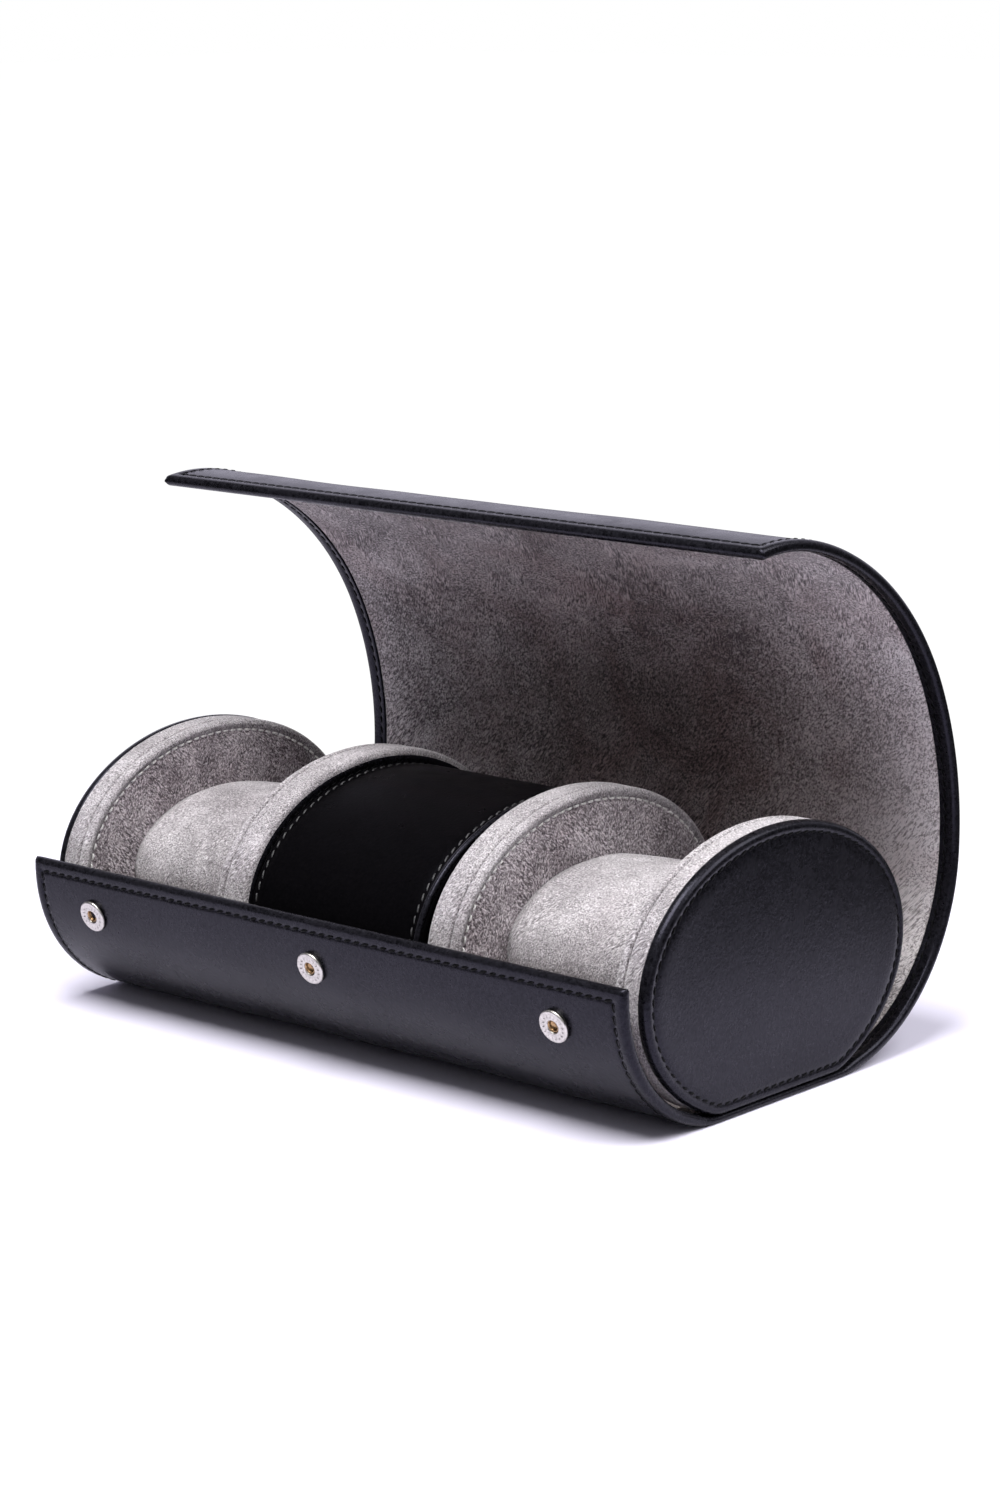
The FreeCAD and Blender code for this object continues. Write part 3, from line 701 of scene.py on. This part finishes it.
def wrap_seams(start, end):
    """Stitch places of a stretch: both sides of the roll and any free edge, outside and inside the wrap.

    Under the base the outside stitches are sunk, so that none reaches below the table.
    """
    free_low, free_high = start <= FLAP_EDGE, end >= LID_EDGE
    low = start + SEAM_INSET if free_low else start
    high = end - SEAM_INSET if free_high else end
    seam_x = half_length - SEAM_INSET
    travels = np.linspace(low, high, max(2, round((high - low) / MM)))
    row = np.linspace(-seam_x, seam_x, FREE_EDGE_POINTS)
    lines = [[(x, travel) for travel in travels] for x in (-seam_x, seam_x)]
    lines += [[(x, travel) for x in row] for travel, free in ((low, free_low), (high, free_high)) if free]
    places = []
    for depth, base_sink, facing in ((0.0, BASE_STITCH_SINK, -1), (WRAP_THICKNESS - STITCH_SINK, 0.0, 1)):
        for line in lines:
            points = [on_wrap(x, travel, depth + base_sink * (1 - base_fade(travel))) for x, travel in line]
            normals = [np.array([0, *(section(travel)[1] * facing)]) for _, travel in line]
            places += along_line(points, normals, False)
    return places


def build_wrap():
    """Leather, lining and stitching of every stretch of the wrap."""
    for name, start, end, hinge, bodies, panels in wrap_spans():
        leather = span_shell(f"wrap_{name}_leather", start, end, 0.0, leather_depths, LEATHER,
                             LEATHER_INSETS)
        lining = span_shell(f"wrap_{name}_lining", start, end, LINING_INSET, lining_depths, LINING,
                            LINING_INSETS)
        thread = add_stitches(f"wrap_{name}_thread", wrap_seams(start, end), STITCH_SIZE, THREAD)
        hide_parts(*(f"{panel}_{layer}" for panel in panels for layer in ("leather", "board")))
        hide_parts(*(f"{panel}_lining" for panel in panels))
        for piece, slot in ((leather, "black_leather"), (lining, "grey_suede"), (thread, "black_leather")):
            bend_with(piece)


build_wrap()


# Ovals with a flat underside
FLAT_CUT = 5.4 * MM
ARC_POINTS = 216
ARC_SAMPLES = 2000
FLAT_POINTS = 44
OVAL_POINTS = ARC_POINTS + FLAT_POINTS
CORNER_SOFTENING = 4
FILL_SHARES = (0.93, 0.84, 0.72, 0.56, 0.38, 0.2)
FACE_WAVE_SIZE = 30 * MM
FACE_WAVE_SEED = 5.0


def oval(box, inset=0.0, drop=0.0):
    """Points of a flat bottomed oval that fills a box, set in all round, with slightly soft corners.

    drop carries the flat below the box's underside.
    """
    low, high = box
    full_height = (high.z - low.z + FLAT_CUT) / 2
    centre = high.z - full_height
    half_width, half_height, floor = high.y - inset, full_height - inset, low.z - drop + inset
    corner = math.asin((floor - centre) / half_height)
    turn = np.linspace(corner, math.pi - corner, ARC_SAMPLES)
    arc = np.stack([half_width * np.cos(turn), centre + half_height * np.sin(turn)], 1)
    travel = path_travels(arc)
    marks = np.linspace(0, travel[-1], ARC_POINTS)
    arc = np.stack([np.interp(marks, travel, arc[:, i]) for i in range(2)], 1)
    flat = np.linspace(arc[-1], arc[0], FLAT_POINTS + 2)[1:-1]
    points = np.vstack([arc, flat])
    for _ in range(CORNER_SOFTENING):
        points = (np.roll(points, 1, axis=0) + 2 * points + np.roll(points, -1, axis=0)) / 4
    return points


def oval_normals(points):
    """Outward normals along an oval."""
    run = np.roll(points, -1, axis=0) - np.roll(points, 1, axis=0)
    run /= np.linalg.norm(run, axis=1)[:, None]
    return np.stack([run[:, 1], -run[:, 0]], 1)


def placed(pairs, plane, way):
    """A profile in metres, from (inset, run) pairs in millimetres that run a way along X from a plane."""
    return [(inset * MM, plane + way * run * MM) for inset, run in pairs]


def oval_sweep(name, box, profile, material, fill_first=False, fill_last=False, unevenness=0.0, drop=0.0):
    """Carries a profile of (inset, x) pairs round an oval, and closes its ends with rings to the middle."""
    middle = np.array([0.0, (box[0].z + box[1].z) / 2])
    rings = [(x, oval(box, inset, drop)) for inset, x in profile]
    first, last = rings[0], rings[-1]
    if fill_first:
        rings = [(first[0], between(middle, first[1], share)) for share in FILL_SHARES[::-1]] + rings
    if fill_last:
        rings += [(last[0], between(middle, last[1], share)) for share in FILL_SHARES]
    verts = []
    for x, ring in rings:
        for y, z in ring:
            shift = unevenness * waves(x, y, z, FACE_WAVE_SIZE, FACE_WAVE_SEED)
            verts.append((x + shift, y, max(z, box[0].z - drop)))
    faces = loop_faces(len(rings), OVAL_POINTS)
    if fill_first:
        faces.append(loop_cap(0, OVAL_POINTS))
    if fill_last:
        faces.append(loop_cap(len(rings) - 1, OVAL_POINTS))
    return add_mesh(name, verts, faces, material)


def oval_line(box, inset, x, facing, drop=0.0):
    """Points and normals of a seam on a flat face, at an inset from the oval."""
    line = oval(box, inset, drop)
    return [np.array([x, y, z]) for y, z in line], [np.array([facing, 0.0, 0.0])] * len(line)


def oval_band(box, inset, x):
    """Points and normals of a seam round the oval's own surface."""
    line = oval(box, inset)
    return [np.array([x, y, z]) for y, z in line], [np.array([0.0, *n]) for n in oval_normals(line)]


# Watch spools: edges as pairs in millimetres, an inset from the oval and a way along X
FACING_EDGES = {
    "end": ((1.8, -3.1), (0.35, -3.1), (-0.08, -2.8), (-0.2, -2.2), (-0.16, -1.5), (0.02, -0.85),
            (0.42, -0.3), (0.95, 0.0), (1.55, 0.08), (2.1, -0.04), (2.45, -0.17), (2.75, -0.24),
            (3.05, -0.17), (3.6, 0.0), (4.6, 0.1), (6.5, 0.12), (9.0, 0.06)),
    "inner": ((1.9, -1.4), (1.6, -1.0), (1.7, -0.4), (2.1, -0.06), (2.8, 0.05), (3.5, -0.05), (4.0, -0.17),
              (4.25, -0.22), (4.5, -0.17), (5.0, -0.04), (6.2, 0.0), (9.0, 0.0)),
}
RIM_EDGES = {
    "end": ((2.2, 0.0), (0.4, 0.0), (0.06, 0.25), (0.0, 0.8), (0.0, 2.2)),
    "inner": ((3.4, -1.25), (1.9, -1.3), (1.0, -1.1), (0.45, -0.7), (0.15, -0.1), (0.0, 0.8), (-0.1, 2.2)),
}
RIM_BEAD = ((0.0, 4.2), (0.0, 5.8), (0.05, 6.25), (0.3, 6.55), (0.9, 6.72), (1.3, 6.84), (1.3, 6.98),
            (0.9, 7.1), (0.3, 7.28), (0.05, 7.6), (0.0, 8.0), (0.04, 8.5), (0.24, 9.05), (0.6, 9.5),
            (1.05, 9.8), (1.5, 9.88), (1.95, 9.76), (2.3, 9.5), (2.6, 9.2), (3.0, 9.05), (3.5, 9.05))
FACE_RISES = ((2.7, 9.0), (3.4, 9.1), (3.8, 9.35), (4.4, 9.58), (5.4, 9.68), (7.0, 9.7), (10.0, 9.7))
FACING_DROPS = {"end": 1.0 * MM, "inner": 0.0}
FACING_SEAMS = {"end": 2.75 * MM, "inner": 4.25 * MM}
FACING_SEAM_SINK = 0.2 * MM
LIGHT_SEAM = 3.15 * MM
LIGHT_SEAM_RUN = 9.2 * MM
FACE_UNEVENNESS = 0.12 * MM


def build_disc(side, place, outward):
    """One disc of a spool: sewn leather facing, suede rim and suede face.

    outward is the facing's X direction. The facing's edge rises outwards from its own plane, and the rim and
    the face run inwards from the rim's plane. On the inner disc the suede is drawn over the edge, and the
    leather lies inside it.
    """
    body, prefix = f"{side}_spool", f"{side}_{place}"
    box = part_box(f"{prefix}_rim")
    facing_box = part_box(f"{prefix}_facing")
    plane = facing_box[1].x if outward > 0 else facing_box[0].x
    rim_plane = box[1].x if outward > 0 else box[0].x
    drop = FACING_DROPS[place]
    profile = placed(FACING_EDGES[place], plane, outward)
    facing = oval_sweep(f"{prefix}_disc_leather", facing_box, profile, LEATHER, fill_last=True,
                        unevenness=FACE_UNEVENNESS, drop=drop)
    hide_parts(f"{prefix}_facing")
    profile = placed(RIM_EDGES[place] + RIM_BEAD, rim_plane, -outward)
    rim = oval_sweep(f"{prefix}_disc_suede", box, profile, SUEDE)
    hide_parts(f"{prefix}_rim")
    profile = placed(FACE_RISES, rim_plane, -outward)
    face = oval_sweep(f"{prefix}_face_suede", box, profile, NAP, fill_last=True, unevenness=FACE_UNEVENNESS)
    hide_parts(f"{prefix}_lining")
    seam_plane = plane - outward * FACING_SEAM_SINK
    seam = along_line(*oval_line(facing_box, FACING_SEAMS[place], seam_plane, outward, drop), True)
    thread = add_stitches(f"{prefix}_disc_thread", seam, STITCH_SIZE, THREAD)
    seam_plane = rim_plane - outward * LIGHT_SEAM_RUN
    seam = along_line(*oval_line(box, LIGHT_SEAM, seam_plane, -outward), True, LIGHT_STITCH_PITCH)
    dashes = add_stitches(f"{prefix}_face_thread", seam, LIGHT_STITCH_SIZE, LIGHT_THREAD, 0.0)
    for piece in (facing, rim, face, thread, dashes):
        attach(piece, body)


# Padded hubs: seam widths in radians round the hub, slow dents as (height, size, seed)
HUB_RINGS = 40
HUB_POINTS = 200
HUB_FULLNESS = 1.1 * MM
HUB_SET_IN = 0.3 * MM
HUB_CROWN = 1.2 * MM
HUB_END_DROP = 0.9 * MM
HUB_END_REACH = 3 * MM
HUB_SEAM_ANGLE = math.radians(78)
HUB_SEAM_DEPTH, HUB_SEAM_WIDTH = 0.3 * MM, 0.018
HUB_SEAM_SWELL, HUB_SWELL_WIDTH = 0.18 * MM, 0.06
HUB_DENTS = (0.35 * MM, 24 * MM, 2.0)


def hub_seam(turn):
    """Depth of the seam along the hub's top: a groove in a low swelling."""
    groove = HUB_SEAM_DEPTH * bell(turn, HUB_SEAM_ANGLE, HUB_SEAM_WIDTH)
    return groove - HUB_SEAM_SWELL * bell(turn, HUB_SEAM_ANGLE, HUB_SWELL_WIDTH)


def build_hub(side):
    """Padded suede hub: an oval barrel with a closed seam along its top and soft dents."""
    low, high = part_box(f"{side}_hub_cover")
    half_width, half_height = high.y, (high.z - low.z) / 2 + HUB_FULLNESS
    centre = (high.z + low.z) / 2
    dent_height, dent_size, dent_seed = HUB_DENTS
    verts = []
    for ring in range(HUB_RINGS + 1):
        x = between(low.x, high.x, ring / HUB_RINGS)
        to_end = min(x - low.x, high.x - x)
        drop = HUB_CROWN * (2 * ring / HUB_RINGS - 1) ** 2
        drop += HUB_END_DROP * (1 - ease(to_end, 0.0, HUB_END_REACH))
        for step in range(HUB_POINTS):
            turn = 2 * math.pi * step / HUB_POINTS
            y, z = half_width * math.cos(turn), half_height * math.sin(turn)
            dent = dent_height * waves(x, y, z, dent_size, dent_seed)
            shrink = drop + hub_seam(turn) + HUB_SET_IN + dent
            verts.append((x, y * (1 - shrink / half_width), centre + z * (1 - shrink / half_height)))
    faces = loop_faces(HUB_RINGS + 1, HUB_POINTS)
    faces += [loop_cap(end, HUB_POINTS) for end in (0, HUB_RINGS)]
    hub = add_mesh(f"{side}_hub_suede", verts, faces, SUEDE)
    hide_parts(f"{side}_hub_cover", f"{side}_hub_foam")
    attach(hub, f"{side}_spool")


for side, sign in (("left", -1), ("right", 1)):
    build_disc(side, "end", sign)
    build_disc(side, "inner", -sign)
    build_hub(side)


# Drum: ends as pairs in millimetres, an inset from the oval and a way in along X from the end
DRUM_ENDS = {
    "left": ((2.5, 0.0), (0.9, 0.0), (0.4, 0.2), (0.18, 0.6), (0.16, 1.0), (0.3, 1.5), (0.34, 1.8),
             (0.2, 2.3), (0.05, 3.0), (0.0, 4.0), (0.0, 6.0)),
    "right": ((2.5, 0.1), (1.6, 0.2), (1.1, 0.6), (0.9, 1.4), (0.7, 2.0), (0.4, 2.5), (0.22, 3.0),
              (0.3, 3.5), (0.2, 4.0), (0.06, 4.7), (0.0, 6.0)),
}
DRUM_STEPS = 17
DRUM_SEAMS = {"left": 1.75 * MM, "right": 3.5 * MM}
DRUM_SEAM_SINK = 0.24 * MM
PIPING_RADIUS = 0.95 * MM
PIPING_INSET = 0.5 * MM
PIPING_RUN = 1.35 * MM
PIPING_POINTS = 12


def build_drum():
    """Leather covered drum: sewn near its left end, piped and sewn at its right end, with leather faces."""
    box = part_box("drum_cover")
    left, right = box[0].x, box[1].x
    start = placed(DRUM_ENDS["left"], left, 1)
    finish = placed(DRUM_ENDS["right"], right, -1)
    between_x = np.linspace(start[-1][1], finish[-1][1], DRUM_STEPS + 1)[1:-1]
    profile = start + [(0.0, x) for x in between_x] + finish[::-1]
    cover = oval_sweep("drum_leather", box, profile, SMOOTH_LEATHER, fill_first=True, fill_last=True)
    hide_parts("drum_cover", "drum_left_facing", "drum_right_facing")
    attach(cover, "base")
    centre = right - PIPING_RUN
    turns = np.linspace(0, 2 * math.pi, PIPING_POINTS + 1)
    profile = [(PIPING_INSET - PIPING_RADIUS * math.sin(turn), centre + PIPING_RADIUS * math.cos(turn))
               for turn in turns]
    piping = oval_sweep("drum_piping", box, profile, LEATHER)
    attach(piping, "base")
    for side, place in (("left", left + DRUM_SEAMS["left"]), ("right", right - DRUM_SEAMS["right"])):
        seam = along_line(*oval_band(box, DRUM_SEAM_SINK, place), True)
        # Painted highlight: the drum's stitches are black thread painted grey for their glints
        thread = add_stitches(f"drum_{side}_thread", seam, STITCH_SIZE, PAINTED_GLINT_THREAD)
        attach(thread, "base")


build_drum()


# Press studs: profiles as (radius, height above the wrap) pairs in millimetres, and dimples in millimetres
SOCKET_PROFILE = ((1.75, -0.3), (1.75, 0.95), (1.88, 1.2), (2.1, 1.32), (2.35, 1.28), (2.6, 1.16),
                  (2.9, 1.18), (3.15, 1.2), (3.4, 1.23), (3.7, 1.26), (4.05, 1.3), (4.35, 1.22),
                  (4.55, 1.0), (4.6, 0.72), (4.5, 0.45), (4.2, 0.25), (4.0, -0.3))
EYELET_PROFILE = ((1.74, -0.6), (1.74, 0.98), (1.6, 1.06), (1.42, 0.9), (1.34, 0.4), (1.2, 0.12),
                  (0.05, 0.06))
STUD_PROFILE = ((3.5, -0.2), (3.7, 0.1), (3.62, 0.38), (3.3, 0.5), (2.0, 0.5), (1.5, 0.56), (1.12, 0.75),
                (1.1, 1.05), (0.95, 1.25), (0.6, 1.3), (0.02, 1.3))
SOCKET_DIMPLES = 16
DIMPLE_RADIUS = 3.2
DIMPLE_WIDTH = 0.4
DIMPLE_DEPTH = 0.3
SNAP_TURNS = 144
SNAP_REACH = 20 * MM


def snap_places(node):
    """Centres of a node's three round pieces, from its mesh."""
    low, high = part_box(node)
    verts = np.array([v.co for v in frame["nodes"][node].data.vertices])
    groups = [verts[np.abs(verts[:, 0] - mark) < SNAP_REACH] for mark in (low.x, 0.0, high.x)]
    return [(group.min(0) + group.max(0)) / 2 for group in groups]


def lathe(name, profile, places, axis, material, dimples=0):
    """A round piece turned about an axis at each place, with a ring of punched dimples if asked."""
    axis = Vector(axis).normalized()
    side = Vector((1, 0, 0))
    other = axis.cross(side)
    verts, faces = [], []
    for place in places:
        base = len(verts)
        for radius, height in profile:
            depth = DIMPLE_DEPTH * bell(radius, DIMPLE_RADIUS, DIMPLE_WIDTH)
            for step in range(SNAP_TURNS):
                turn = 2 * math.pi * step / SNAP_TURNS
                punched = depth * max(0.0, math.sin(dimples * turn)) ** 2
                verts.append(Vector(place) + axis * (height - punched) * MM
                             + (side * math.cos(turn) + other * math.sin(turn)) * radius * MM)
        faces += [tuple(base + i for i in face) for face in loop_faces(len(profile), SNAP_TURNS)]
    return add_mesh(name, verts, faces, material)


def build_snaps():
    """Nickel sockets with brass eyelets on the flap, nickel studs under the lid's front edge."""
    on_flap, on_lid = TRAVELS < HINGES["flap_hinge"], TRAVELS > HINGES["lid_front_bend"]
    for node, profile, stretch, facing, body, material, slot in (
            ("snap_sockets", SOCKET_PROFILE, on_flap, -1, "front_flap", NICKEL, "nickel"),
            ("snap_eyelets", EYELET_PROFILE, on_flap, -1, "front_flap", BRASS, "brass"),
            ("snap_studs", STUD_PROFILE, on_lid, 1, "lid_front", NICKEL, "nickel")):
        centres = snap_places(node)
        y, z = centres[1][1:]
        distances = np.hypot(PROFILE[:, 0] - y, PROFILE[:, 1] - z)
        travel = TRAVELS[np.argmin(np.where(stretch, distances, FAR))]
        depth = 0.0 if facing < 0 else WRAP_THICKNESS
        places = [on_wrap(centre[0], travel, depth) for centre in centres]
        axis = (0, *(section(travel)[1] * facing))
        dimples = SOCKET_DIMPLES if node == "snap_sockets" else 0
        piece = lathe(f"{node}_turned", profile, places, axis, material, dimples)
        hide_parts(node)
        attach(piece, body)


build_snaps()


# Pieces that stay as they are, inside the others
for node, obj in frame["nodes"].items():
    if not obj.hide_render:
        obj.data.materials.clear()
        obj.data.materials.append(NICKEL if "snap" in node else BOARD)


# Stage: floor and surroundings
WHITE = (1.0, 1.0, 1.0, 1.0)
FLOOR_REACH = 6.0
FLOOR_COLOUR = (0.86, 0.83, 0.96)
FAR_FLOOR_COLOUR = (0.04, 0.04, 0.04)
SHEET_CENTRE = (-0.05, -0.08, 0.0)
SHEET_FADE = (0.27, 0.38)
STUDIO_TINT = (0.86, 0.83, 1.0, 1.0)
AMBIENT_LIGHT = 0.06
BACKDROP_LIGHT = 1.0
BACKDROP_WAY = (-0.66, 0.75, 0.0)
BACKDROP_HEIGHTS = (0.8, 0.42)
BACKDROP_TURNS = (0.2, 0.85)


def build_floor():
    """Pale floor that keeps the shadow. Beyond a sheet round the object it is white only to the camera."""
    mesh = bpy.data.meshes.new("floor")
    corners = ((-1, -1), (1, -1), (1, 1), (-1, 1))
    mesh.from_pydata([(x * FLOOR_REACH, y * FLOOR_REACH, 0) for x, y in corners], [], [(0, 1, 2, 3)])
    floor = bpy.data.objects.new("floor", mesh)
    bpy.context.scene.collection.objects.link(floor)
    paper = MaterialNodes("floor")
    paper.set(Roughness=1.0, Specular_IOR_Level=0.0, Emission_Color=WHITE)
    far = paper.scaled(paper.vector_value("DISTANCE", SHEET_CENTRE), 0.0, 1.0, *SHEET_FADE)
    paper.link(paper.ramp(far, (0.0, 1.0), (FLOOR_COLOUR, FAR_FLOOR_COLOUR)), "Base Color")
    paper.link(paper.product(far, paper.camera_ray()), "Emission Strength")
    mesh.materials.append(paper.material)


def build_world():
    """Surroundings that are white to the camera.

    They light the object from a backdrop low behind it, and only faintly from elsewhere.
    """
    world = bpy.data.worlds.new("studio")
    bpy.context.scene.world = world
    studio = Nodes(world, "Generated")
    height = studio.add("ShaderNodeSeparateXYZ", {"Vector": studio.coords}).outputs["Z"]
    facing = studio.vector_value("DOT_PRODUCT", BACKDROP_WAY)
    low = studio.scaled(height, 0.0, 1.0, *BACKDROP_HEIGHTS, "SMOOTHSTEP")
    behind = studio.scaled(facing, 0.0, 1.0, *BACKDROP_TURNS, "SMOOTHSTEP")
    glow = studio.scaled(studio.product(low, behind), AMBIENT_LIGHT, BACKDROP_LIGHT, 0.0, 1.0)
    seen = studio.camera_ray()
    background = studio.tree.nodes["Background"]
    studio.feed(background.inputs["Color"], studio.mix(seen, STUDIO_TINT, WHITE))
    studio.feed(background.inputs["Strength"], studio.scaled(seen, glow, 1.0, 0.0, 1.0))


# Lamps: place, width and power in watts
LAMPS = {
    "key": ((0.05, -0.36, 1.15), 0.75, 22.5),
    "fill": ((0.85, -0.6, 0.7), 0.95, 1.6),
    "front": ((-0.45, -0.9, 0.6), 0.7, 0.4),
    "back": ((0.7, 0.45, 0.95), 0.8, 11.0),
}
LAMP_TARGET = Vector((0, 0, 0.05))


def build_lamps():
    """Soft square lamps that all point at the object."""
    for name, (place, width, power) in LAMPS.items():
        lamp = bpy.data.lights.new(name, "AREA")
        lamp.size = width
        lamp.energy = power
        obj = bpy.data.objects.new(name, lamp)
        obj.location = place
        obj.rotation_euler = (LAMP_TARGET - Vector(place)).to_track_quat("-Z", "Y").to_euler()
        bpy.context.scene.collection.objects.link(obj)


# Camera of the photograph, fitted to the discs' outlines: metres, radians, and the lens in millimetres
CAMERA_PLACE = (0.6986, -0.7521, 0.2992)
CAMERA_AZIMUTH = 0.739367
CAMERA_ELEVATION = 0.212319
CAMERA_ROLL = -0.013749
CAMERA_LENS = 92.37
CAMERA_SENSOR = 36.0
CAMERA_CLIP_START = 0.01


def build_camera():
    """Camera at the photograph's viewing angle."""
    ahead, rise = math.cos(CAMERA_ELEVATION), math.sin(CAMERA_ELEVATION)
    back = Vector((math.sin(CAMERA_AZIMUTH) * ahead, -math.cos(CAMERA_AZIMUTH) * ahead, rise))
    level = Vector((math.cos(CAMERA_AZIMUTH), math.sin(CAMERA_AZIMUTH), 0))
    upright = back.cross(level)
    right = level * math.cos(CAMERA_ROLL) + upright * math.sin(CAMERA_ROLL)
    up = upright * math.cos(CAMERA_ROLL) - level * math.sin(CAMERA_ROLL)
    camera = bpy.data.cameras.new("camera")
    camera.sensor_width = CAMERA_SENSOR
    camera.lens = CAMERA_LENS
    camera.clip_start = CAMERA_CLIP_START
    obj = bpy.data.objects.new("camera", camera)
    turn = Matrix((right, up, back)).transposed().to_4x4()
    obj.matrix_world = Matrix.Translation(CAMERA_PLACE) @ turn
    bpy.context.scene.collection.objects.link(obj)
    bpy.context.scene.camera = obj


build_floor()
build_world()
build_lamps()
build_camera()
bpy.context.scene.view_settings.view_transform = "Standard"
